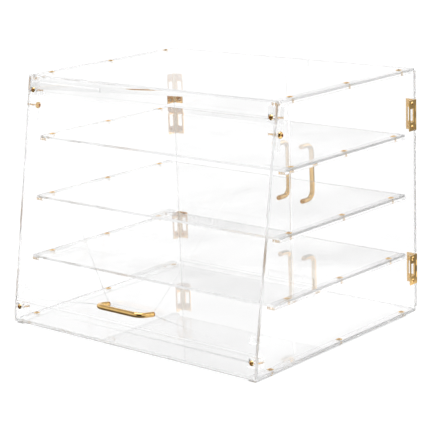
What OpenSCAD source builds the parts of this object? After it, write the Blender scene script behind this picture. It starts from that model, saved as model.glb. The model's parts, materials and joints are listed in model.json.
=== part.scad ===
// Countertop bread display bin: a case of clear sheet with three screwed-in shelves,
// a leaning front door that lifts on two pivot screws, and a pair of hinged rear doors.
// Millimetres, Z up. The bin stands on z = 0, its front faces -Y, and the origin lies under
// the middle of its footprint, handles included.

/* [Case] */
// Width across the outer faces of the side panels
case_w = 523; // [420:1:640]
// Height from the underside of the base panel to the top face of the top panel
case_h = 405; // [390:1:480]
// Depth of the case at the bottom
depth_bottom = 418.5; // [395:0.5:480]
// Depth of the case at the top
depth_top = 349.2; // [330:0.1:380]
// Thickness of the clear sheet
sheet_t = 4; // [3:0.5:5]

/* [Rails and skids] */
// Width of the rails and skids
rail_w = 14; // [11:1:20]
// Thickness of the rails under the top panel and the shelves
rail_t = 4; // [3:0.5:6]
// Thickness of the skids that the bin stands on
skid_t = 4; // [3:0.5:10]
// Distance from the rear edge of the case to the skids
skid_rear_gap = 22; // [4:1:26]
// Gap between the header strip and the front edge of the top panel
top_front_gap = 3; // [0.5:0.1:6]
// Gap between the header strip and the front ends of the top rails
top_rail_front_gap = 3.8; // [1:0.1:10]
// Distance from the rear edge of the case to the top rails
top_rail_rear_gap = 6; // [4.5:0.5:20]
// Gap between the top panel and the raised front corners of the side panels
top_corner_gap = 0.3; // [0.2:0.1:1]

/* [Shelves] */
// Height of the lower shelf's top face above the underside of the base panel
shelf_lower_z = 103.5; // [80:0.5:110]
// Distance from one shelf to the next
shelf_pitch = 99; // [80:1:110]
// Distance of each shelf behind the leaning front, measured level
shelf_front_gap = 32; // [26:0.5:60]
// Distance of each shelf from the rear edge of the case
shelf_rear_gap = 25.5; // [5:0.5:50]
// Gap between the end of a shelf and the side panel
shelf_side_gap = 0.25; // [0.1:0.05:1]
// Distance between the screws along a shelf
shelf_screw_pitch = 133; // [80:1:140]

/* [Countersunk screws] */
// Shank diameter of the panel screws
screw_d = 4; // [3:0.5:5]
// Head diameter of the panel screws
screw_head_d = 8; // [7:0.5:9]
// Radial clearance of every screw in its hole
screw_clear = 0.1; // [0.05:0.05:0.3]
// Front screw of the top panel, behind the panel's front edge
top_screw_front = 33.5; // [20:0.1:80]
// Rear screw of the top panel, before the panel's rear edge
top_screw_rear = 27.7; // [15:0.1:80]
// Front screw of the base panel, behind the front bottom corner of the case
base_screw_front = 44.6; // [20:0.1:80]
// Rear screw of the base panel, before the panel's rear edge
base_screw_rear = 28.7; // [28.5:0.1:80]

/* [Header and kick strips] */
// Height of the header strip along the slope
header_h = 32.5; // [28:0.1:54]
// Height of the kick strip along the slope
kick_h = 34.5; // [30:0.5:60]
// Width of the blocks that hold the strips
block_w = 15; // [12:0.5:20]
// Depth of the blocks behind the strips
block_d = 14; // [8:0.5:16]
// Height of the kick blocks
kick_block_h = 15; // [10:0.5:20]
// Distance of the kick blocks below the top edge of the kick strip
kick_block_drop = 2; // [1:0.5:4]
// Distance of the header blocks above the bottom edge of the header strip
header_block_rise = 1.1; // [0.8:0.1:4]
// Gap between the header blocks and the top rails
header_block_gap = 0.5; // [0.3:0.1:2]
// Distance of the header screws above the bottom edge of the header strip
header_screw_rise = 8.6; // [7:0.1:12]
// Shank diameter of the strip screws
strip_screw_d = 4; // [3:0.5:5]
// Head diameter of the strip screws
button_d = 8.5; // [7:0.1:10]
// Head height of the strip screws
button_h = 2.6; // [1.5:0.1:4]
// Width of the nuts across the flats
nut_w = 7; // [6.5:0.1:9]
// Height of the nuts
nut_h = 3.2; // [2:0.1:4]
// Length of the strip screws beyond their nuts
screw_end = 1.8; // [0.5:0.1:4]

/* [Front door] */
// Gap between the door and each side panel
front_door_side_gap = 1; // [0.5:0.1:2]
// Gap between the top edge of the door and the header strip
header_gap = 3.5; // [3.2:0.1:6]
// Gap between the bottom edge of the door and the kick strip
kick_gap = 4; // [1:0.5:8]
// Thickness of the pivot blocks behind the door
pivot_block_t = 12; // [9:0.5:14]
// Width of the pivot blocks
pivot_block_w = 12; // [8:0.5:20]
// Height of the pivot blocks
pivot_block_h = 30; // [20:1:50]
// Distance of the pivot blocks below the top edge of the door
pivot_block_drop = 6.5; // [4:0.1:10]
// Gap between each pivot block and the side panel
pivot_block_gap = 0.5; // [0.3:0.1:1]
// Shank diameter of the pivot screws
pivot_d = 4; // [3:0.5:6]
// Head diameter of the pivot screws
pivot_head_d = 10.6; // [9:0.1:12]
// Head height of the pivot screws
pivot_head_h = 3.4; // [2:0.1:5]
// Diameter of the pivot washers
pivot_washer_d = 10.6; // [9:0.1:14]
// Thickness of the pivot washers
pivot_washer_t = 1; // [0.5:0.1:2]
// Radial clearance where a pin or a screw turns in its bore
turn_clear = 0.05; // [0.02:0.01:0.1]
// Gap beside a pivot washer, so that the door turns freely
pivot_end_gap = 0.1; // [0.05:0.05:0.3]
// Width of the door stops
stop_w = 16; // [8:1:30]
// Depth of the door stops
stop_d = 14; // [6:1:20]
// Height of the door stops
stop_h = 10; // [5:1:20]
// Distance of the door stops above the bottom edge of the door
stop_rise = 14.5; // [8:0.5:40]
// Gap between the closed door and its stops
stop_gap = 0.3; // [0.2:0.1:1]

/* [Handles] */
// Diameter of the handle bars
handle_d = 8.5; // [6:0.5:12]
// Distance between the two feet of a handle
handle_span = 96; // [64:1:128]
// Distance from the door to the middle of the bar
handle_reach = 28; // [22:0.5:40]
// Bend radius at the middle of the bar
handle_bend = 15; // [6.5:0.5:16]
// Height of the front handle above the bottom edge of its door
front_handle_rise = 24.6; // [12:0.1:60]
// Distance of each rear handle from the middle of the case
rear_handle_x = 26; // [14:0.5:60]
// Height of the middle of the rear handles above the underside of the base panel
rear_handle_z = 201; // [120:1:280]
// Shank diameter of the handle screws
handle_screw_d = 4; // [3:0.5:5]
// Head diameter of the handle screws
handle_screw_head_d = 8; // [7:0.5:10]
// Head height of the handle screws
handle_screw_head_h = 2.4; // [1:0.1:3]
// Length of the handle screws inside the handle
handle_screw_grip = 9; // [5:0.5:14]

/* [Rear doors] */
// Gap between the closed rear doors and the case
rear_door_gap = 0.5; // [0.3:0.1:1]
// Gap between the two rear doors
rear_door_meet_gap = 1; // [0.6:0.1:3]
// Distance of each rear door's hinged edge from the outer face of the side panel
rear_door_inset = 0.5; // [0.3:0.1:2]
// Height of the rear doors' bottom edge above the underside of the base panel
rear_door_bottom = 7; // [0:0.5:20]
// Distance of the rear doors' top edge below the top panel's underside
rear_door_top_gap = 0.5; // [0:0.5:10]
// Width of the strips that the rear doors close against
door_strip_w = 100; // [60:1:200]
// Height of the upper door strip
door_strip_top_h = 11; // [8:1:30]
// Height of the lower door strip
door_strip_bottom_h = 15; // [8:1:30]

/* [Hinges] */
// Height of a hinge
hinge_h = 50; // [40:1:64]
// Thickness of a hinge leaf
leaf_t = 1; // [0.8:0.1:1.5]
// Reach of a leaf from the middle of the pin
leaf_reach = 19.5; // [17:0.5:28]
// Diameter of the knuckles
knuckle_d = 4.2; // [3.8:0.1:5]
// Diameter of the hinge pins
pin_d = 2.2; // [1.6:0.1:2.6]
// Gap between one knuckle and the next
knuckle_gap = 0.3; // [0.2:0.05:0.5]
// Width of the window in a leaf
window_w = 9.5; // [4:0.5:10]
// Height of the window in a leaf
window_h = 22; // [8:1:24]
// Middle of a leaf, where its window and screws are, from the middle of the pin
leaf_middle = 11.5; // [10:0.1:12]
// Distance between the two screws of a leaf
leaf_screw_span = 38; // [32:0.5:44]
// Shank diameter of the hinge screws
hinge_screw_d = 3; // [2:0.5:3.5]
// Head diameter of the hinge screws
hinge_screw_head_d = 5.6; // [4.5:0.1:6]
// Room in the door's edge round a hinge's knuckles
knuckle_room = 0.5; // [0.4:0.1:2]
// Distance of the upper hinges' middle below the top panel
hinge_top_drop = 71.4; // [40:0.1:90]
// Height of the lower hinges' middle above the underside of the base panel
hinge_bottom_rise = 72.5; // [40:0.5:90]

/* [Hidden] */
$fn = 48;

clear_sheet = [0.86, 0.92, 0.94, 0.35];
brass = [0.83, 0.66, 0.33];
steel = [0.62, 0.63, 0.64];

// How far a cutter runs past the face that it cuts through
over = 1;

// The case has its own frame: y = 0 in the rear plane, z = 0 under the base panel
lean = atan((depth_bottom - depth_top) / case_h);
inner_x = case_w / 2 - sheet_t;
wall_h = case_h - sheet_t;
door_bottom = kick_h + kick_gap;
front_handle_s = door_bottom + front_handle_rise;
front_overhang = handle_reach * cos(lean) + handle_d / 2 - front_handle_s * sin(lean);
rear_overhang = rear_door_gap + sheet_t + handle_reach + handle_d / 2;
rear_y = (depth_bottom + front_overhang - rear_overhang) / 2;

// Heights along the slope of the front, from the front bottom corner of the case
header_top = case_h / cos(lean);
header_bottom = header_top - header_h;
door_top = header_bottom - header_gap;
header_screw_s = header_bottom + header_screw_rise;
header_block_top = (wall_h - rail_t - header_block_gap + sheet_t * sin(lean)) / cos(lean);
kick_block_bottom = kick_h - kick_block_drop - kick_block_h;
kick_screw_s = kick_block_bottom + kick_block_h / 2;
pivot_block_top = door_top - pivot_block_drop;
pivot_s = pivot_block_top - pivot_block_t / 2;
pivot_depth = sheet_t + pivot_block_t / 2;
pivot_block_x = inner_x - pivot_block_gap;
pivot_screw_length = pivot_end_gap + pivot_washer_t + sheet_t + pivot_block_gap + pivot_block_w;

screw_x = inner_x - rail_w / 2;
screw_length = sheet_t + rail_t;
strip_screw_x = inner_x - block_w / 2;

shelf_lower_top = shelf_lower_z;
shelf_middle_top = shelf_lower_z + shelf_pitch;
shelf_upper_top = shelf_lower_z + 2 * shelf_pitch;

rear_door_face = rear_door_gap + sheet_t;
hinge_x = case_w / 2 + leaf_t - knuckle_d / 2;
hinge_y = rear_door_face + leaf_t - knuckle_d / 2;
hinge_upper_z = wall_h - hinge_top_drop;
hinge_lower_z = hinge_bottom_rise;
knuckle_count = 5;
knuckle_h = (hinge_h - (knuckle_count - 1) * knuckle_gap) / knuckle_count;

// y of the plane that lies a given depth behind the front, at height z
function front_y(z, depth) = -depth_bottom + z * tan(lean) + depth / cos(lean);
top_front_y = front_y(case_h, sheet_t) + top_front_gap;
// Slope height of a level at height z, at a given depth behind the front
function slope_at(z, depth) = z / cos(lean) + depth * tan(lean);
function shelf_front(top) = front_y(top, 0) + shelf_front_gap;
function shelf_screw_ys(top) = [
    for (i = [-1 : 1]) (shelf_front(top) - shelf_rear_gap) / 2 + i * shelf_screw_pitch
];
function between(front, rear) = [front, (front + rear) / 2, rear];
top_screw_ys = between(top_front_y + top_screw_front, -top_screw_rear);
base_screw_ys = between(base_screw_front - depth_bottom, -base_screw_rear);
function knuckle_z(i) = -hinge_h / 2 + i * (knuckle_h + knuckle_gap);

module in_case() {
    translate([0, rear_y, skid_t])
        children();
}

// On the front, x is level, y runs into the case and z runs up the slope
module on_front() {
    translate([0, -depth_bottom, 0])
        rotate([-lean, 0, 0])
            children();
}

module left_hand() {
    mirror([1, 0, 0])
        children();
}

// An outline in y and z, carried along x
module along_x(x0, x1, outline) {
    translate([x0, 0, 0])
        rotate([90, 0, 90])
            linear_extrude(x1 - x0)
                polygon(outline);
}

// A countersunk screw with its head's face at z = 0 and its shank downwards
module countersunk(head_d, shank_d, length) {
    rotate_extrude()
        polygon([
            [0, 0], [head_d / 2, 0], [shank_d / 2, (shank_d - head_d) / 2],
            [shank_d / 2, -length], [0, -length]
        ]);
}

// The hole for a countersunk screw, with clearance all round
module countersunk_hole(head_d, shank_d, length) {
    countersunk(head_d + 2 * screw_clear, shank_d + 2 * screw_clear, length + over);
    cylinder(d = head_d + 2 * screw_clear, h = over);
}

// A low round screw head with its seat at z = 0
module domed_head(d, h) {
    cap_r = (d * d / 4 + h * h) / (2 * h);
    intersection() {
        translate([0, 0, h - cap_r])
            sphere(r = cap_r);
        cylinder(d = d, h = h);
    }
}

module domed_screw(head_d, head_h, shank_d, length) {
    domed_head(head_d, head_h);
    translate([0, 0, -length])
        cylinder(d = shank_d, h = length);
}

module screw_places(ys, top) {
    for (x = [-screw_x, screw_x], y = ys)
        translate([x, y, top])
            children();
}

module panel_screw_holes(ys, top) {
    screw_places(ys, top)
        countersunk_hole(screw_head_d, screw_d, screw_length);
}

// The strip screws' places on the front, with z out of the front
module strip_screw_places(s) {
    on_front()
        for (x = [-strip_screw_x, strip_screw_x])
            translate([x, 0, s])
                rotate([90, 0, 0])
                    children();
}

module strip_screw_holes(s) {
    strip_screw_places(s)
        translate([0, 0, -sheet_t - block_d - over])
            cylinder(d = strip_screw_d + 2 * screw_clear, h = sheet_t + block_d + 2 * over);
}

// A bore along the front door's pivot line, from x0 to x1
module pivot_bore(d, x0, x1) {
    on_front()
        translate([x0, pivot_depth, pivot_s])
            rotate([0, 90, 0])
                cylinder(d = d, h = x1 - x0);
}

// Case

module base_panel() {
    color(clear_sheet)
        in_case()
            difference() {
                along_x(-inner_x, inner_x, [
                    [front_y(0, sheet_t), 0], [0, 0], [0, sheet_t], [front_y(sheet_t, sheet_t), sheet_t]
                ]);
                panel_screw_holes(base_screw_ys, sheet_t);
            }
}

module skid_right() {
    front = front_y(0, sheet_t);
    color(clear_sheet)
        in_case()
            difference() {
                translate([inner_x - rail_w, front, -skid_t])
                    cube([rail_w, -skid_rear_gap - front, skid_t]);
                screw_places(base_screw_ys, sheet_t)
                    countersunk_hole(screw_head_d, screw_d, sheet_t + skid_t);
            }
}

module skid_left() {
    left_hand()
        skid_right();
}

// A side panel carries the top panel, and its front corner stands up before the top panel
module side_panel_outline(holes_d) {
    corner_y = top_front_y - top_corner_gap;
    difference() {
        along_x(inner_x, case_w / 2, [
            [-depth_bottom, 0], [0, 0], [0, wall_h], [corner_y, wall_h], [corner_y, case_h],
            [front_y(case_h, 0), case_h]
        ]);
        pivot_bore(holes_d, inner_x - over, case_w / 2 + over);
        for (z = [hinge_upper_z, hinge_lower_z])
            at_hinge(z)
                side_leaf_screws()
                    hinge_screw_hole();
    }
}

module side_panel_right() {
    color(clear_sheet)
        in_case()
            side_panel_outline(pivot_d + 2 * turn_clear);
}

module side_panel_left() {
    color(clear_sheet)
        in_case()
            left_hand()
                side_panel_outline(pivot_d + 2 * screw_clear);
}

module top_panel() {
    color(clear_sheet)
        in_case()
            difference() {
                translate([-case_w / 2, top_front_y, wall_h])
                    cube([case_w, -top_front_y, sheet_t]);
                panel_screw_holes(top_screw_ys, case_h);
            }
}

module top_rail_right() {
    front = front_y(wall_h, sheet_t) + top_rail_front_gap;
    color(clear_sheet)
        in_case()
            difference() {
                translate([inner_x - rail_w, front, wall_h - rail_t])
                    cube([rail_w, -top_rail_rear_gap - front, rail_t]);
                panel_screw_holes(top_screw_ys, case_h);
            }
}

module top_rail_left() {
    left_hand()
        top_rail_right();
}

// Shelves

module shelf(top) {
    color(clear_sheet)
        in_case()
            difference() {
                translate([shelf_side_gap - inner_x, shelf_front(top), top - sheet_t])
                    cube([2 * (inner_x - shelf_side_gap), -shelf_rear_gap - shelf_front(top), sheet_t]);
                panel_screw_holes(shelf_screw_ys(top), top);
            }
}

module shelf_rail(top) {
    color(clear_sheet)
        in_case()
            difference() {
                translate([inner_x - rail_w, shelf_front(top), top - sheet_t - rail_t])
                    cube([rail_w, -shelf_rear_gap - shelf_front(top), rail_t]);
                panel_screw_holes(shelf_screw_ys(top), top);
            }
}

module shelf_upper() {
    shelf(shelf_upper_top);
}

module shelf_middle() {
    shelf(shelf_middle_top);
}

module shelf_lower() {
    shelf(shelf_lower_top);
}

module shelf_rail_upper_right() {
    shelf_rail(shelf_upper_top);
}

module shelf_rail_upper_left() {
    left_hand()
        shelf_rail(shelf_upper_top);
}

module shelf_rail_middle_right() {
    shelf_rail(shelf_middle_top);
}

module shelf_rail_middle_left() {
    left_hand()
        shelf_rail(shelf_middle_top);
}

module shelf_rail_lower_right() {
    shelf_rail(shelf_lower_top);
}

module shelf_rail_lower_left() {
    left_hand()
        shelf_rail(shelf_lower_top);
}

module panel_screws() {
    color(brass)
        in_case() {
            screw_places(top_screw_ys, case_h)
                countersunk(screw_head_d, screw_d, screw_length);
            for (top = [shelf_lower_top, shelf_middle_top, shelf_upper_top])
                screw_places(shelf_screw_ys(top), top)
                    countersunk(screw_head_d, screw_d, screw_length);
            screw_places(base_screw_ys, sheet_t)
                countersunk(screw_head_d, screw_d, sheet_t + skid_t);
        }
}

// Header and kick strips, between the side panels and flush with their front edges

module header_strip() {
    color(clear_sheet)
        in_case()
            difference() {
                on_front()
                    along_x(-inner_x, inner_x, [
                        [0, header_bottom], [sheet_t, header_bottom],
                        [sheet_t, slope_at(case_h, sheet_t)], [0, slope_at(case_h, 0)]
                    ]);
                strip_screw_holes(header_screw_s);
            }
}

module kick_strip() {
    color(clear_sheet)
        in_case()
            difference() {
                on_front()
                    along_x(-inner_x, inner_x, [
                        [0, 0], [sheet_t, slope_at(0, sheet_t)], [sheet_t, kick_h], [0, kick_h]
                    ]);
                strip_screw_holes(kick_screw_s);
            }
}

module strip_block(bottom, top, screw_s) {
    color(clear_sheet)
        in_case()
            difference() {
                on_front()
                    translate([inner_x - block_w, sheet_t, bottom])
                        cube([block_w, block_d, top - bottom]);
                strip_screw_holes(screw_s);
            }
}

module header_block_right() {
    strip_block(header_bottom + header_block_rise, header_block_top, header_screw_s);
}

module header_block_left() {
    left_hand()
        header_block_right();
}

module kick_block_right() {
    strip_block(kick_block_bottom, kick_block_bottom + kick_block_h, kick_screw_s);
}

module kick_block_left() {
    left_hand()
        kick_block_right();
}

module strip_screws() {
    length = sheet_t + block_d + nut_h + screw_end;
    color(brass)
        in_case()
            for (s = [header_screw_s, kick_screw_s])
                strip_screw_places(s)
                    domed_screw(button_d, button_h, strip_screw_d, length);
}

module strip_nuts() {
    color(steel)
        in_case()
            for (s = [header_screw_s, kick_screw_s])
                strip_screw_places(s)
                    translate([0, 0, -sheet_t - block_d - nut_h])
                        difference() {
                            cylinder(d = nut_w / cos(30), h = nut_h, $fn = 6);
                            translate([0, 0, -over])
                                cylinder(d = strip_screw_d + 2 * screw_clear, h = nut_h + 2 * over);
                        }
}

module door_stop_right() {
    color(clear_sheet)
        in_case()
            on_front()
                translate([inner_x - stop_w, sheet_t + stop_gap, door_bottom + stop_rise])
                    cube([stop_w, stop_d, stop_h]);
}

module door_stop_left() {
    left_hand()
        door_stop_right();
}

// Front door

module front_door_panel() {
    door_x = inner_x - front_door_side_gap;
    color(clear_sheet)
        in_case()
            on_front()
                difference() {
                    translate([-door_x, 0, door_bottom])
                        cube([2 * door_x, sheet_t, door_top - door_bottom]);
                    at_front_handle()
                        handle_screw_holes();
                }
}

module pivot_block(bore_d) {
    color(clear_sheet)
        in_case()
            difference() {
                on_front()
                    translate([pivot_block_x - pivot_block_w, sheet_t, pivot_block_top - pivot_block_h])
                        cube([pivot_block_w, pivot_block_t, pivot_block_h]);
                pivot_bore(bore_d, pivot_block_x - pivot_block_w - over, pivot_block_x + over);
            }
}

module pivot_block_right() {
    pivot_block(pivot_d + 2 * screw_clear);
}

module pivot_block_left() {
    left_hand()
        pivot_block(pivot_d + 2 * turn_clear);
}

// Both pivot screws go in from the right: one through the right side panel into its block,
// the other through the left block into the left side panel
module pivot_screw_place(seat_x) {
    in_case()
        on_front()
            translate([seat_x + pivot_end_gap, pivot_depth, pivot_s])
                rotate([0, 90, 0])
                    children();
}

module pivot_screw(seat_x) {
    color(brass)
        pivot_screw_place(seat_x)
            translate([0, 0, pivot_washer_t])
                domed_screw(pivot_head_d, pivot_head_h, pivot_d, pivot_screw_length);
}

module pivot_washer(seat_x) {
    color(brass)
        pivot_screw_place(seat_x)
            difference() {
                cylinder(d = pivot_washer_d, h = pivot_washer_t);
                translate([0, 0, -over])
                    cylinder(d = pivot_d + 2 * screw_clear, h = pivot_washer_t + 2 * over);
            }
}

module pivot_screw_right() {
    pivot_screw(case_w / 2);
}

module pivot_screw_left() {
    pivot_screw(pivot_block_w - pivot_block_x);
}

module pivot_washer_right() {
    pivot_washer(case_w / 2);
}

module pivot_washer_left() {
    pivot_washer(pivot_block_w - pivot_block_x);
}

// Handles: a bow pull stands on z = 0 with its bar along x

module handle_feet() {
    for (x = [-handle_span / 2, handle_span / 2])
        translate([x, 0, 0])
            children();
}

module handle_leg_and_bend() {
    straight = handle_reach - handle_bend;
    translate([handle_span / 2, 0, 0])
        cylinder(d = handle_d, h = straight);
    translate([handle_span / 2 - handle_bend, 0, straight])
        rotate([90, 0, 0])
            rotate_extrude(angle = 90)
                translate([handle_bend, 0])
                    circle(d = handle_d);
}

module bow_pull() {
    bar = handle_span - 2 * handle_bend;
    difference() {
        union() {
            handle_leg_and_bend();
            left_hand()
                handle_leg_and_bend();
            translate([-bar / 2, 0, handle_reach])
                rotate([0, 90, 0])
                    cylinder(d = handle_d, h = bar);
        }
        handle_feet()
            translate([0, 0, -over])
                cylinder(d = handle_screw_d + 2 * screw_clear, h = handle_screw_grip + 2 * over);
    }
}

module handle_screw_holes() {
    handle_feet()
        translate([0, 0, -sheet_t - over])
            cylinder(d = handle_screw_d + 2 * screw_clear, h = sheet_t + 2 * over);
}

module handle_screws() {
    length = sheet_t + handle_screw_grip;
    handle_feet()
        translate([0, 0, -sheet_t])
            rotate([180, 0, 0])
                domed_screw(handle_screw_head_d, handle_screw_head_h, handle_screw_d, length);
}

module at_front_handle() {
    translate([0, 0, front_handle_s])
        rotate([90, 0, 0])
            children();
}

module at_rear_handle() {
    translate([rear_handle_x, rear_door_face, rear_handle_z])
        rotate([-90, 90, 0])
            children();
}

module front_handle() {
    color(brass)
        in_case()
            on_front()
                at_front_handle()
                    bow_pull();
}

module front_handle_screws() {
    color(brass)
        in_case()
            on_front()
                at_front_handle()
                    handle_screws();
}

module rear_handle_right() {
    color(brass)
        in_case()
            at_rear_handle()
                bow_pull();
}

module rear_handle_left() {
    left_hand()
        rear_handle_right();
}

module rear_handle_screws_right() {
    color(brass)
        in_case()
            at_rear_handle()
                handle_screws();
}

module rear_handle_screws_left() {
    left_hand()
        rear_handle_screws_right();
}

// Rear doors

module rear_door_panel_right() {
    meet_x = rear_door_meet_gap / 2;
    edge_x = case_w / 2 - rear_door_inset;
    notch_x = hinge_x - knuckle_d / 2 - knuckle_room;
    color(clear_sheet)
        in_case()
            difference() {
                translate([meet_x, rear_door_gap, rear_door_bottom])
                    cube([edge_x - meet_x, sheet_t, wall_h - rear_door_top_gap - rear_door_bottom]);
                for (z = [hinge_upper_z, hinge_lower_z]) {
                    translate([notch_x, rear_door_gap - over, z - hinge_h / 2 - knuckle_room])
                        cube([edge_x - notch_x + over, sheet_t + 2 * over, hinge_h + 2 * knuckle_room]);
                    at_hinge(z)
                        door_leaf_screws()
                            hinge_screw_hole();
                }
                at_rear_handle()
                    handle_screw_holes();
            }
}

module rear_door_panel_left() {
    left_hand()
        rear_door_panel_right();
}

module door_strip(z, h) {
    color(clear_sheet)
        in_case()
            translate([-door_strip_w / 2, -sheet_t, z])
                cube([door_strip_w, sheet_t, h]);
}

module door_strip_top() {
    door_strip(wall_h - door_strip_top_h, door_strip_top_h);
}

module door_strip_bottom() {
    door_strip(sheet_t, door_strip_bottom_h);
}

// Hinges: z runs up the pin, and the side leaf lies at +x and reaches towards -y

module at_hinge(z) {
    translate([hinge_x, hinge_y, z])
        children();
}

// The door leaf is the side leaf laid over, with x and y changing places
module laid_over() {
    mirror([1, -1, 0])
        children();
}

module side_leaf_screws() {
    for (z = [-leaf_screw_span / 2, leaf_screw_span / 2])
        translate([knuckle_d / 2, -leaf_middle, z])
            rotate([0, 90, 0])
                children();
}

module door_leaf_screws() {
    laid_over()
        side_leaf_screws()
            children();
}

module hinge_screw() {
    countersunk(hinge_screw_head_d, hinge_screw_d, leaf_t + sheet_t);
}

module hinge_screw_hole() {
    countersunk_hole(hinge_screw_head_d, hinge_screw_d, leaf_t + sheet_t);
}

// A leaf carries every second knuckle from the first one named, and makes room for the others
module leaf(first) {
    room = knuckle_d / 2 + knuckle_gap;
    difference() {
        union() {
            difference() {
                translate([knuckle_d / 2 - leaf_t, -leaf_reach, -hinge_h / 2])
                    cube([leaf_t, leaf_reach, hinge_h]);
                for (i = [1 - first : 2 : knuckle_count - 1])
                    translate([0, -room, knuckle_z(i) - knuckle_gap])
                        cube([room, room + over, knuckle_h + 2 * knuckle_gap]);
            }
            for (i = [first : 2 : knuckle_count - 1])
                translate([0, 0, knuckle_z(i)])
                    cylinder(d = knuckle_d, h = knuckle_h);
        }
        translate([0, 0, -hinge_h / 2 - over])
            cylinder(d = pin_d + 2 * turn_clear, h = hinge_h + 2 * over);
        translate([0, -leaf_middle - window_w / 2, -window_h / 2])
            cube([knuckle_d, window_w, window_h]);
        side_leaf_screws()
            hinge_screw_hole();
    }
}

module side_leaf(z) {
    color(brass)
        in_case()
            at_hinge(z)
                leaf(0);
}

module door_leaf(z) {
    color(brass)
        in_case()
            at_hinge(z)
                laid_over()
                    leaf(1);
}

module hinge_side_leaf_upper_right() {
    side_leaf(hinge_upper_z);
}

module hinge_side_leaf_upper_left() {
    left_hand()
        side_leaf(hinge_upper_z);
}

module hinge_side_leaf_lower_right() {
    side_leaf(hinge_lower_z);
}

module hinge_side_leaf_lower_left() {
    left_hand()
        side_leaf(hinge_lower_z);
}

module hinge_door_leaf_upper_right() {
    door_leaf(hinge_upper_z);
}

module hinge_door_leaf_upper_left() {
    left_hand()
        door_leaf(hinge_upper_z);
}

module hinge_door_leaf_lower_right() {
    door_leaf(hinge_lower_z);
}

module hinge_door_leaf_lower_left() {
    left_hand()
        door_leaf(hinge_lower_z);
}

module hinge_pins_right() {
    color(brass)
        in_case()
            for (z = [hinge_upper_z, hinge_lower_z])
                at_hinge(z)
                    translate([0, 0, -hinge_h / 2])
                        cylinder(d = pin_d, h = hinge_h);
}

module hinge_pins_left() {
    left_hand()
        hinge_pins_right();
}

module hinge_side_screws_one_side() {
    for (z = [hinge_upper_z, hinge_lower_z])
        at_hinge(z)
            side_leaf_screws()
                hinge_screw();
}

module hinge_side_screws() {
    color(brass)
        in_case() {
            hinge_side_screws_one_side();
            left_hand()
                hinge_side_screws_one_side();
        }
}

module hinge_door_screws_right() {
    color(brass)
        in_case()
            for (z = [hinge_upper_z, hinge_lower_z])
                at_hinge(z)
                    door_leaf_screws()
                        hinge_screw();
}

module hinge_door_screws_left() {
    left_hand()
        hinge_door_screws_right();
}

base_panel();
skid_left();
skid_right();
side_panel_left();
side_panel_right();
top_panel();
top_rail_left();
top_rail_right();
shelf_upper();
shelf_middle();
shelf_lower();
shelf_rail_upper_left();
shelf_rail_upper_right();
shelf_rail_middle_left();
shelf_rail_middle_right();
shelf_rail_lower_left();
shelf_rail_lower_right();
panel_screws();
header_strip();
header_block_left();
header_block_right();
kick_strip();
kick_block_left();
kick_block_right();
strip_screws();
strip_nuts();
door_stop_left();
door_stop_right();
front_door_panel();
pivot_block_left();
pivot_block_right();
pivot_screw_left();
pivot_screw_right();
pivot_washer_left();
pivot_washer_right();
front_handle();
front_handle_screws();
rear_door_panel_left();
rear_door_panel_right();
rear_handle_left();
rear_handle_right();
rear_handle_screws_left();
rear_handle_screws_right();
hinge_side_leaf_upper_left();
hinge_side_leaf_upper_right();
hinge_side_leaf_lower_left();
hinge_side_leaf_lower_right();
hinge_door_leaf_upper_left();
hinge_door_leaf_upper_right();
hinge_door_leaf_lower_left();
hinge_door_leaf_lower_right();
hinge_pins_left();
hinge_pins_right();
hinge_side_screws();
hinge_door_screws_left();
hinge_door_screws_right();
door_strip_top();
door_strip_bottom();
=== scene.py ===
"""Countertop bread display bin: a clear acrylic case with brass-plated fittings, in a white studio."""
import json
import math

import bpy
import numpy as np
from mathutils import Matrix, Vector


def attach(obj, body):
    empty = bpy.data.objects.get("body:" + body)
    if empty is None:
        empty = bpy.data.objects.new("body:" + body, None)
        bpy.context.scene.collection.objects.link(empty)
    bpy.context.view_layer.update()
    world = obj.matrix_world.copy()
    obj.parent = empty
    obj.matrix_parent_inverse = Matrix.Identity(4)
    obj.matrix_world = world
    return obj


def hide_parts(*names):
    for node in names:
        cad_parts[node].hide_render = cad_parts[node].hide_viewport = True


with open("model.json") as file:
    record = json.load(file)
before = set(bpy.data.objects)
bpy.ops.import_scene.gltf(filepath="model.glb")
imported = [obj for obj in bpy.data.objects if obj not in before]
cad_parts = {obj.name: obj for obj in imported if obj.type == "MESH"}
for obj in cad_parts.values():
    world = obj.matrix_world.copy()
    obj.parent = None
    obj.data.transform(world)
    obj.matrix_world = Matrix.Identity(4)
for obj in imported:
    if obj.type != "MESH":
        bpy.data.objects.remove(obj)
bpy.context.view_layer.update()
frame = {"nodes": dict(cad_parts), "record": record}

MM = 0.001
ACRYLIC_IOR = 1.49
THREAD_PITCH = 0.7 * MM
COLOUR = {"data_type": "RGBA"}
NUMBER = {"data_type": "FLOAT"}
SMOOTH = {"interpolation_type": "SMOOTHSTEP"}


# Helpers


def linear(hex_colour):
    """An sRGB hex colour as linear red, green, blue and alpha."""
    parts = [int(hex_colour[i:i + 2], 16) / 255 for i in (1, 3, 5)]
    return tuple(c / 12.92 if c <= 0.04045 else ((c + 0.055) / 1.055) ** 2.4 for c in parts) + (1.0,)


def add_node(tree, kind, settings=(), **sockets):
    """A node with its settings, and its sockets set to values or linked from other nodes' sockets. A socket
    goes by its name or, as _0 or _1, by its number."""
    node = tree.nodes.new(kind)
    for name, value in dict(settings).items():
        setattr(node, name, value)
    for name, value in sockets.items():
        socket = node.inputs[int(name[1:]) if name[0] == "_" else name.replace("_", " ")]
        if isinstance(value, bpy.types.NodeSocket):
            tree.links.new(value, socket)
        else:
            socket.default_value = value
    return node


def new_material(name):
    """An empty material and its node tree."""
    material = bpy.data.materials.new(name)
    material.use_nodes = True
    material.node_tree.nodes.clear()
    return material, material.node_tree


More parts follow.
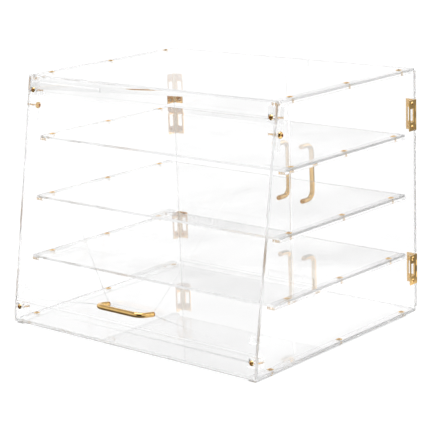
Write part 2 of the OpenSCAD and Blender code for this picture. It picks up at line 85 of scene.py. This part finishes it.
def broad_normal(node):
    """The direction across a node's largest flat faces: the normal with the most area behind it, turned so
    that its largest part is positive."""
    polygons = frame["nodes"][node].data.polygons
    normals = np.empty(3 * len(polygons))
    areas = np.empty(len(polygons))
    polygons.foreach_get("normal", normals)
    polygons.foreach_get("area", areas)
    ways, which = np.unique(normals.reshape(-1, 3).round(3), axis=0, return_inverse=True)
    best = ways[np.bincount(which.ravel(), weights=areas).argmax()]
    return tuple(float(part) for part in best * np.sign(best[np.abs(best).argmax()]))


# Materials


def cast_acrylic(name, tint):
    """Cast acrylic sheet: a clear polished face that takes almost nothing from the light, with faint clouds.
    The greyer copies' tint is painted shade.
    The trace of sheen is the film of dust and fine scratches that a handled sheet has."""
    cloud = 120 * MM
    material, tree = new_material(name)
    coords = add_node(tree, "ShaderNodeTexCoord")
    clouds = add_node(tree, "ShaderNodeTexNoise", Vector=coords.outputs["Object"], Scale=1 / cloud,
                      Detail=2.0)
    colour = add_node(tree, "ShaderNodeMix", COLOUR, _0=clouds.outputs[0],
                      _6=linear(tint), _7=linear("#ffffff"))
    shader = add_node(tree, "ShaderNodeBsdfPrincipled", Base_Color=colour.outputs[2], Roughness=0.0,
                      IOR=ACRYLIC_IOR, Transmission_Weight=1.0, Sheen_Weight=0.01, Sheen_Roughness=0.5)
    add_node(tree, "ShaderNodeOutputMaterial", Surface=shader.outputs[0])
    return material


def sawn_acrylic():
    """The same sheet's cut edge: sawn and scraped, so half frosted, with streaks across its thickness. It
    looks soft grey, because the light that it lets out has come a long way between the faces."""
    streak = 1.6 * MM  # a real cut's streaks are about 0.3 mm apart, too fine to show
    material, tree = new_material("sawn_acrylic")
    coords = add_node(tree, "ShaderNodeTexCoord")
    streaks = add_node(tree, "ShaderNodeTexNoise", Vector=coords.outputs["Object"], Scale=1 / streak)
    colour = add_node(tree, "ShaderNodeMix", COLOUR, _0=streaks.outputs[0],
                      _6=linear("#fafafa"), _7=linear("#ffffff"))
    shader = add_node(tree, "ShaderNodeBsdfPrincipled", Base_Color=colour.outputs[2], Roughness=0.3,
                      IOR=ACRYLIC_IOR, Transmission_Weight=1.0)
    add_node(tree, "ShaderNodeOutputMaterial", Surface=shader.outputs[0])
    return material


def plated_brass():
    """Brass-plated steel, polished and lacquered: a warm mirror with faint cloudy wear, so its roughness and
    its gold change a little from place to place."""
    cloud = 6 * MM
    polish_marks = 0.8 * MM  # real polishing marks are finer, drawn as coarse as they need to show
    mark_depth = 0.004 * MM
    material, tree = new_material("plated_brass")
    coords = add_node(tree, "ShaderNodeTexCoord")
    clouds = add_node(tree, "ShaderNodeTexNoise", Vector=coords.outputs["Object"], Scale=1 / cloud,
                      Detail=3.0)
    marks = add_node(tree, "ShaderNodeTexNoise", Vector=coords.outputs["Object"], Scale=1 / polish_marks)
    colour = add_node(tree, "ShaderNodeMix", COLOUR, _0=clouds.outputs[0],
                      _6=linear("#d9ab62"), _7=linear("#ecca8c"))
    rough = add_node(tree, "ShaderNodeMapRange", Value=clouds.outputs[0], From_Min=0.3, From_Max=0.7,
                     To_Min=0.04, To_Max=0.1)
    bump = add_node(tree, "ShaderNodeBump", Height=marks.outputs[0], Distance=mark_depth)
    shader = add_node(tree, "ShaderNodeBsdfPrincipled", Base_Color=colour.outputs[2], Metallic=1.0,
                      Roughness=rough.outputs[0], Normal=bump.outputs[0])
    add_node(tree, "ShaderNodeOutputMaterial", Surface=shader.outputs[0])
    return material


def zinc_steel():
    """Bright zinc-plated steel: a soft grey mirror with a fine spangle."""
    spangle = 1.5 * MM
    material, tree = new_material("zinc_steel")
    coords = add_node(tree, "ShaderNodeTexCoord")
    spots = add_node(tree, "ShaderNodeTexNoise", Vector=coords.outputs["Object"], Scale=1 / spangle)
    colour = add_node(tree, "ShaderNodeMix", COLOUR, _0=spots.outputs[0],
                      _6=linear("#a9aaab"), _7=linear("#cccdce"))
    rough = add_node(tree, "ShaderNodeMapRange", Value=spots.outputs[0], To_Min=0.22, To_Max=0.38)
    shader = add_node(tree, "ShaderNodeBsdfPrincipled", Base_Color=colour.outputs[2], Metallic=1.0,
                      Roughness=rough.outputs[0])
    add_node(tree, "ShaderNodeOutputMaterial", Surface=shader.outputs[0])
    return material


# The CAD nodes' finish


def cut_edges(across):
    """A modifier tree that gives a sheet's cut edges, whose normals lie in the sheet, the second material."""
    flattest_face = 0.8  # a face's normal and the direction across the sheet have at least this cosine
    tree = bpy.data.node_groups.new("cut_edges", "GeometryNodeTree")
    for way in ("INPUT", "OUTPUT"):
        tree.interface.new_socket("Geometry", in_out=way, socket_type="NodeSocketGeometry")
    solid = add_node(tree, "NodeGroupInput")
    normal = add_node(tree, "GeometryNodeInputNormal")
    facing = add_node(tree, "ShaderNodeVectorMath", {"operation": "DOT_PRODUCT"},
                      _0=normal.outputs[0], _1=across)
    either_way = add_node(tree, "ShaderNodeMath", {"operation": "ABSOLUTE"}, _0=facing.outputs["Value"])
    edge = add_node(tree, "FunctionNodeCompare", {"operation": "LESS_THAN"},
                    _0=either_way.outputs[0], _1=flattest_face)
    finished = add_node(tree, "GeometryNodeSetMaterialIndex", Geometry=solid.outputs[0],
                        Selection=edge.outputs[0], Material_Index=1)
    add_node(tree, "NodeGroupOutput", _0=finished.outputs[0])
    return tree


brass, steel, sawn = plated_brass(), zinc_steel(), sawn_acrylic()
clear = cast_acrylic("cast_acrylic", "#fdfdfd")
# Painted shade: greyer copies of the same clear acrylic for the sheets that look greyer, by the first word of
# their names
painted_shade_tints = {"header": "#e8e8e8", "base": "#f6f6f6", "shelf": "#d8d8d8", "top": "#d2d2d2"}
painted_shade_acrylics = {word: cast_acrylic("cast_acrylic_" + word, tint) for word, tint in painted_shade_tints.items()}
slots = {s["node"]: s["material_slot"] for s in frame["record"]["subparts"]}
edge_trees = {}


def finish_sheet(name, node):
    """A clear sheet: welded, and drawn in by a hair so that bonded faces part. Its faces are polished, and
    so are a block's, stop's or rail's edges. All other edges are sawn."""
    weld = node.modifiers.new("weld", "WELD")
    weld.merge_threshold = 0.001 * MM
    shrink = node.modifiers.new("shrink", "DISPLACE")
    shrink.strength = -0.02 * MM
    shrink.mid_level = 0.0
    across = broad_normal(name)
    if across not in edge_trees:
        edge_trees[across] = cut_edges(across)
    node.modifiers.new("edges", "NODES").node_group = edge_trees[across]
    small = any(word in name for word in ("block", "stop", "rail"))
    node.data.materials.append(painted_shade_acrylics.get(name.split("_")[0], clear))
    node.data.materials.append(clear if small else sawn)


for name, node in frame["nodes"].items():
    node.data.materials.clear()
    if slots[name] == "clear_sheet":
        finish_sheet(name, node)
    else:
        node.data.materials.append(steel if slots[name] == "nuts" else brass)


# Screws and nuts, drawn again at the CAD solids' places and sizes


def solids(name):
    """The corner points of each separate solid in a CAD node, whose triangles share corners by place only."""
    mesh = frame["nodes"][name].data
    points, loops = np.empty(3 * len(mesh.vertices)), np.empty(len(mesh.loops), int)
    mesh.vertices.foreach_get("co", points)
    mesh.loops.foreach_get("vertex_index", loops)
    points, which = np.unique(points.reshape(-1, 3).round(7), axis=0, return_inverse=True)
    triangles = which.ravel()[loops].reshape(-1, 3)
    label = np.arange(len(points))
    while True:
        least = label.copy()
        np.minimum.at(least, triangles.ravel(), label[triangles].min(axis=1).repeat(3))
        if (least == label).all():
            return [points[label == k] for k in np.unique(label)]
        label = least


def measured(points, way):
    """The seat of a screw or nut along the line way, the way that its head faces, and its sizes: the outer
    radius, the height above the seat, the radius at its foot and the depth below the seat."""
    way = np.array(way)
    height = points @ way
    flat = points - height[:, None] * way
    centre = (flat.min(axis=0) + flat.max(axis=0)) / 2
    out = np.linalg.norm(flat - centre, axis=1)
    if height[out.argmax()] * 2 < height.min() + height.max():
        way, height = -way, -height
    hair = 0.02 * MM
    seat = height[out > out.max() - hair].max()
    foot = out[height < height.min() + hair]
    return centre + seat * way, way, (out.max(), height.max() - seat, foot.max(), seat - height.min())


def ring(radius, height, outline, angles):
    """A ring about the z axis, of one of four outlines, where the radius is that of a circle.
    Hexagon: radius / cosine of the angle from the nearest flat's middle, so the flats lie at the radius.
    Cross: the lesser of radius / cosine, an arm's flat end, and arm * radius / sine, its side, of the angle
    from the nearest arm's middle.
    Thread: it climbs one pitch a turn, with its root half as deep as the pitch is high."""
    arm = 0.3  # half an arm's width, as a share of the radius
    if outline == "hexagon":
        out = radius / np.cos(angles % (np.pi / 3) - np.pi / 6)
    elif outline == "cross":
        off = (angles + np.pi / 4) % (np.pi / 2) - np.pi / 4
        sine = np.maximum(np.abs(np.sin(off)), 0.01)  # never zero, on an arm's middle
        out = radius * np.minimum(1 / np.cos(off), arm / sine)
    elif outline == "thread":
        turns = height / THREAD_PITCH + angles / (2 * np.pi)
        out = radius - THREAD_PITCH / 4 * np.abs(2 * (turns % 1) - 1)
    else:
        out = np.full_like(angles, radius)
    return np.stack([out * np.cos(angles), out * np.sin(angles), np.full_like(angles, height)], axis=1)


def turned(rows, hollow):
    """A closed surface through rings, from the top down: its points, the four-sided faces between the rings
    and the three-sided faces of a cap at each end. In a hollow one the last ring joins the first instead."""
    count, around = len(rows), 48
    side = np.arange(around)
    angles = side * 2 * np.pi / around
    points = np.concatenate([ring(*row, angles) for row in rows])
    upper, left = np.meshgrid(np.arange(count if hollow else count - 1), side, indexing="ij")
    lower, right = (upper + 1) % count, (left + 1) % around
    corners = (upper * around + left, lower * around + left, lower * around + right, upper * around + right)
    walls = np.stack(corners, axis=-1).reshape(-1, 4)
    if hollow:
        return points, walls, np.empty((0, 3), int)
    next_side, last = (side + 1) % around, (count - 1) * around
    middles = [points[:around].mean(axis=0), points[-around:].mean(axis=0)]
    top = np.stack([np.full(around, len(points)), side, next_side], axis=1)
    foot = np.stack([np.full(around, len(points) + 1), last + next_side, last + side], axis=1)
    return np.concatenate([points, middles]), walls, np.concatenate([top, foot])


def ball_face(radius, rise, inner, count):
    """Rings on a ball's cap, from inner, a share of its radius, out to its rim. At a distance out from the
    axis the cap stands as high as the root of ball squared less out squared, less ball, plus rise."""
    ball = (radius ** 2 + rise ** 2) / (2 * rise)
    return [(out, math.sqrt(ball ** 2 - out ** 2) - ball + rise, "circle")
            for out in np.linspace(inner, 1.0, count) * radius]


def screw_rows(radius, dome, shank, length):
    """A domed head with a hexagon socket, or a sunk head with a raised rim and a cross recess, and a
    threaded shank. The sunk head's rim stands a little over the sheet, because the real ones do."""
    if dome > 0.1 * MM:
        neck = 0.0
        socket, floor, mouth = 0.4 * radius, -0.6 * dome, 0.88 * dome
        rows = [(socket, floor, "hexagon"), (socket, mouth, "hexagon"), *ball_face(radius, dome, 0.52, 7)]
    else:
        neck = shank - radius
        rim, crown, lift = 1.3 * radius, 0.3 * radius, 0.05 * MM
        floor, mouth = (0.25 * rim, -0.3 * rim, "cross"), (0.5 * rim, 0.8 * crown, "cross")
        head = [floor, mouth, *ball_face(rim, crown, 0.6, 6), (radius, 0.0, "circle")]
        rows = [(out, height + lift, outline) for out, height, outline in head]
    step = THREAD_PITCH / 6
    steps = int((length + neck) / step) - 3
    threads = [(shank, neck - (2 + k) * step, "thread") for k in range(steps)]
    return [*rows, (shank, neck, "circle"), *threads, (0.75 * shank, -length, "circle")]


def nut_rows(radius, _height, _bore, depth):
    """A hexagon nut with its corners and its bore chamfered. Its seat is its upper face."""
    flat, hole, chamfer = radius * math.cos(math.pi / 6), 2.1 * MM, 0.35 * MM
    edge = 0.94 * flat
    return [(hole, -chamfer, "circle"), (hole + chamfer, 0.0, "circle"), (edge, 0.0, "circle"),
            (flat, -chamfer, "hexagon"), (flat, chamfer - depth, "hexagon"), (edge, -depth, "circle"),
            (hole + chamfer, -depth, "circle"), (hole, chamfer - depth, "circle")]


def fittings(name, way, shape, material, hollow=False):
    """The screws or nuts of one CAD node as one piece. Each screw is turned a little further about its axis
    than the one before, as screws driven by hand are, and nuts aren't turned."""
    turn_each = 0 if hollow else 2.4
    points, walls, caps = [], [], []
    first = 0
    for index, solid in enumerate(solids(name)):
        seat, up, sizes = measured(solid, way)
        across = np.array((0.0, 1.0, 0.0) if abs(up[0]) > 0.9 else (1.0, 0.0, 0.0))
        beside = np.cross(up, across)
        cosine, sine = math.cos(turn_each * index), math.sin(turn_each * index)
        axes = np.stack([cosine * across + sine * beside, cosine * beside - sine * across, up])
        own_points, own_walls, own_caps = turned(shape(*sizes), hollow)
        points.append(seat + own_points @ axes)
        walls.append(first + own_walls)
        caps.append(first + own_caps)
        first += len(own_points)
    faces = np.concatenate(walls).tolist() + np.concatenate(caps).tolist()
    mesh = bpy.data.meshes.new("drawn_" + name)
    mesh.from_pydata(np.concatenate(points), [], faces)
    mesh.shade_smooth()
    mesh.set_sharp_from_angle(angle=math.radians(32))
    mesh.materials.append(material)
    piece = bpy.data.objects.new("drawn_" + name, mesh)
    bpy.context.scene.collection.objects.link(piece)
    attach(piece, next(b for b, nodes in frame["record"]["behaviour"]["bodies"].items() if name in nodes))
    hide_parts(name)


front_way = broad_normal("front_door_panel")
upright, sideways, backwards = (0, 0, 1), (1, 0, 0), (0, 1, 0)
screws = {
    "panel_screws": upright,
    "strip_screws": front_way,
    "front_handle_screws": front_way,
    "pivot_screw_left": sideways,
    "pivot_screw_right": sideways,
    "rear_handle_screws_left": backwards,
    "rear_handle_screws_right": backwards,
    "hinge_side_screws": sideways,
    "hinge_door_screws_left": backwards,
    "hinge_door_screws_right": backwards,
}
for name, way in screws.items():
    fittings(name, way, screw_rows, brass)
fittings("strip_nuts", front_way, nut_rows, steel, hollow=True)


# Studio


def seen_in_gloss(tree):
    """1 for a ray that a surface mirrored, 0 for one that it let through and for all others."""
    path = add_node(tree, "ShaderNodeLightPath")
    mirrored = add_node(tree, "ShaderNodeMath", {"operation": "SUBTRACT", "use_clamp": True},
                        _0=path.outputs["Is Glossy Ray"], _1=path.outputs["Is Transmission Ray"])
    return mirrored.outputs[0]


def studio_light():
    """A white room. To the camera it is white all round. What the sheets let through has a dim side in front
    of the bin's right-hand corner. What metal and gloss mirror has a tall dark doorway there, a ceiling that
    darkens upwards and a lamp overhead, which the front handle's bend shows. Both have a lamp behind the
    bin's right-hand side and a bright wall behind its left-hand side, which the shelves mirror."""
    doorway = Vector((0.64, -0.73, 0.15)).normalized()
    lamp = Vector((0.64, 0.7, 0.2)).normalized()
    wall = Vector((-0.64, 0.73, 0.25)).normalized()
    overhead = Vector((0.0, 0.0, 1.0))
    world = bpy.data.worlds.new("studio")
    bpy.context.scene.world = world
    world.use_nodes = True
    tree = world.node_tree
    tree.nodes.clear()
    coords = add_node(tree, "ShaderNodeTexCoord")

    def patch(level, middle, outer, inner, shade, squash=1.0):
        """The level with a round patch of another shade, from the cosines outer to inner off its middle. A
        squash below 1 makes the patch that much taller than wide."""
        lower = add_node(tree, "ShaderNodeVectorMath", {"operation": "MULTIPLY"},
                         _0=coords.outputs["Generated"], _1=(1.0, 1.0, squash))
        unit = add_node(tree, "ShaderNodeVectorMath", {"operation": "NORMALIZE"}, _0=lower.outputs[0])
        turn = add_node(tree, "ShaderNodeVectorMath", {"operation": "DOT_PRODUCT"},
                        _0=unit.outputs[0], _1=middle)
        inside = add_node(tree, "ShaderNodeMapRange", SMOOTH, Value=turn.outputs["Value"],
                          From_Min=outer, From_Max=inner)
        return add_node(tree, "ShaderNodeMix", NUMBER, _0=inside.outputs[0], _2=level, _3=shade).outputs[0]

    seen_through = patch(1.0, doorway, outer=0.5, inner=0.9, shade=0.7)
    way = add_node(tree, "ShaderNodeSeparateXYZ", Vector=coords.outputs["Generated"])
    ceiling = add_node(tree, "ShaderNodeMapRange", SMOOTH, Value=way.outputs["Z"],
                       From_Min=0.35, From_Max=0.98, To_Min=1.0, To_Max=0.3)
    mirrored = patch(ceiling.outputs[0], overhead, outer=0.86, inner=0.95, shade=4.0)
    mirrored = patch(mirrored, doorway, outer=0.87, inner=0.93, shade=0.01, squash=0.4)
    level = add_node(tree, "ShaderNodeMix", NUMBER, _0=seen_in_gloss(tree), _2=seen_through, _3=mirrored)
    lit = patch(level.outputs[0], lamp, outer=0.88, inner=0.94, shade=2.2)
    lit = patch(lit, wall, outer=0.85, inner=0.97, shade=1.22)
    path = add_node(tree, "ShaderNodeLightPath")
    room = add_node(tree, "ShaderNodeMix", NUMBER, _0=path.outputs["Is Camera Ray"], _2=lit, _3=1.0)
    light = add_node(tree, "ShaderNodeBackground", Color=(1, 1, 1, 1), Strength=room.outputs[0])
    add_node(tree, "ShaderNodeOutputWorld", Surface=light.outputs[0])


def white_floor():
    """A matt white table, lifted to white by a glow. Metal and gloss mirror it in painted shade and light: a
    dark painted shadow under the bin, dim painted shade further out, darker painted shade to the front right,
    which shows in the front handle's bend, and a bright painted pool of light beside the right side panel,
    which shows in the hinges' knuckles."""
    reach = 6.0
    mesh = bpy.data.meshes.new("floor")
    corners = [(-reach, -reach, 0), (reach, -reach, 0), (reach, reach, 0), (-reach, reach, 0)]
    mesh.from_pydata(corners, [], [(0, 1, 2, 3)])
    floor = bpy.data.objects.new("floor", mesh)
    bpy.context.scene.collection.objects.link(floor)
    material, tree = new_material("matt_white_table")
    coords = add_node(tree, "ShaderNodeTexCoord")
    place = add_node(tree, "ShaderNodeSeparateXYZ", Vector=coords.outputs["Object"])
    off_middle = add_node(tree, "ShaderNodeMath", {"operation": "ABSOLUTE"}, _0=place.outputs["Y"])
    distance = add_node(tree, "ShaderNodeVectorMath", {"operation": "LENGTH"}, _0=coords.outputs["Object"])
    # painted shade in the mirrored glow: a painted shadow under the bin, dim further out
    mirrored = add_node(tree, "ShaderNodeMapRange", SMOOTH, Value=distance.outputs["Value"],
                        From_Min=0.25, From_Max=0.9, To_Min=0.02, To_Max=0.18)
    # painted shade to the front right, and a painted pool of light beside the right side panel
    painted_shade_front_right = (place.outputs["Y"], (-0.3, -0.4), (0.03, 0.12), 0.04)
    painted_light_beside_panel = (off_middle.outputs[0], (0.4, 0.3), (0.26, 0.34), 1.5)
    for depth, (outside, inside), (left, right), shade in (painted_shade_front_right, painted_light_beside_panel):
        rightwards = add_node(tree, "ShaderNodeMapRange", SMOOTH, Value=place.outputs["X"],
                              From_Min=left, From_Max=right)
        share = add_node(tree, "ShaderNodeMapRange", SMOOTH, Value=depth, From_Min=outside, From_Max=inside,
                         To_Max=rightwards.outputs[0])
        mirrored = add_node(tree, "ShaderNodeMix", NUMBER, _0=share.outputs[0], _2=mirrored.outputs[0],
                            _3=shade)
    glow = add_node(tree, "ShaderNodeMix", NUMBER, _0=seen_in_gloss(tree), _2=0.91, _3=mirrored.outputs[0])
    white = add_node(tree, "ShaderNodeEmission", Color=(1, 1, 1, 1), Strength=glow.outputs[0])
    paper = add_node(tree, "ShaderNodeBsdfDiffuse", Color=linear("#7a7a7a"))
    both = add_node(tree, "ShaderNodeAddShader", _0=white.outputs[0], _1=paper.outputs[0])
    add_node(tree, "ShaderNodeOutputMaterial", Surface=both.outputs[0])
    mesh.materials.append(material)
    floor.location.z = -0.3 * MM


def camera():
    """The photograph's camera, solved from its straight edges."""
    frame_width = 430
    focal_pixels = 1590.41
    yaw, pitch, roll = math.radians(41.08), math.radians(13.87), math.radians(-2.08)
    place = Vector((1.67071, -1.91182, 0.80165))
    data = bpy.data.cameras.new("camera")
    data.sensor_width = 36
    data.lens = focal_pixels * data.sensor_width / frame_width
    data.clip_start, data.clip_end = 0.1, 50
    cam = bpy.data.objects.new("camera", data)
    bpy.context.scene.collection.objects.link(cam)
    forward = Vector((-math.sin(yaw) * math.cos(pitch), math.cos(yaw) * math.cos(pitch), -math.sin(pitch)))
    level = Vector((math.cos(yaw), math.sin(yaw), 0))
    up = level.cross(forward)
    right = math.cos(roll) * level + math.sin(roll) * up
    top = -math.sin(roll) * level + math.cos(roll) * up
    cam.matrix_world = Matrix.Translation(place) @ Matrix((right, top, -forward)).transposed().to_4x4()
    bpy.context.scene.camera = cam


studio_light()
white_floor()
camera()
scene = bpy.context.scene
scene.view_settings.view_transform = "Standard"
# Light that enters a sheet's edge is mirrored from face to face a hundred times before it leaves
scene.cycles.max_bounces = 256
scene.cycles.transmission_bounces = 256
scene.cycles.glossy_bounces = 256
